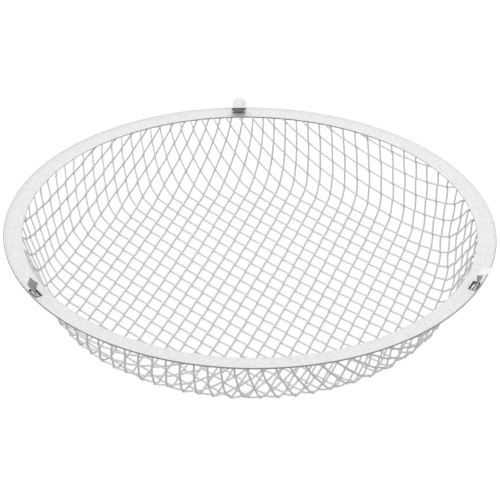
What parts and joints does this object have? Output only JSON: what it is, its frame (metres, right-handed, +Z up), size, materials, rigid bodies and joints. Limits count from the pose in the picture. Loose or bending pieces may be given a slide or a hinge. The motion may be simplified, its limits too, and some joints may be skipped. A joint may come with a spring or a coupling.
{
  "type": "wire mesh guard",
  "caption": "Round shallow basket of woven steel wire clamped in a folded sheet rim ring, with swing clips that hold it over a round opening.",
  "frame": {"origin": "on the ring's axis, at the level of the lowest wire under the middle of the dish", "axes": "+Z up along the ring's axis, out of the dish's mouth; +X to the right and +Y to the rear, where the rear clip is"},
  "size_m": [0.48, 0.48, 0.0997],
  "materials": {
    "rim": "galvanised sheet, satin, finely mottled",
    "wire": "galvanised wire, satin",
    "clip": "zinc-plated spring sheet, satin"
  },
  "bodies": {
    "guard": {"rim_ring": "rim", "warp_wires_01": "wire", "warp_wires_02": "wire", "warp_wires_03": "wire", "warp_wires_04": "wire", "warp_wires_05": "wire", "warp_wires_06": "wire", "warp_wires_07": "wire", "warp_wires_08": "wire", "warp_wires_09": "wire", "warp_wires_10": "wire", "warp_wires_11": "wire", "warp_wires_12": "wire", "weft_wires_01": "wire", "weft_wires_02": "wire", "weft_wires_03": "wire", "weft_wires_04": "wire", "weft_wires_05": "wire", "weft_wires_06": "wire", "weft_wires_07": "wire", "weft_wires_08": "wire", "weft_wires_09": "wire", "weft_wires_10": "wire", "weft_wires_11": "wire", "weft_wires_12": "wire"},
    "rear_clip": {"rear_clip": "clip"},
    "left_clip": {"left_clip": "clip"},
    "right_clip": {"right_clip": "clip"}
  },
  "joints": [
    {"name": "rear_clip_swing", "type": "hinge", "parent": "guard", "child": "rear_clip", "pos_m": [-0.01422, 0.23256, 0.07596], "axis": [-0.9981, -0.061, 0], "range_deg": [-18, 72]},
    {"name": "left_clip_swing", "type": "hinge", "parent": "guard", "child": "left_clip", "pos_m": [-0.19759, -0.12347, 0.07596], "axis": [0.5299, -0.848, 0], "range_deg": [-71, 19]},
    {"name": "right_clip_swing", "type": "hinge", "parent": "guard", "child": "right_clip", "pos_m": [0.21048, -0.09994, 0.07596], "axis": [0.4289, 0.9033, 0], "range_deg": [-75, 15]}
  ]
}
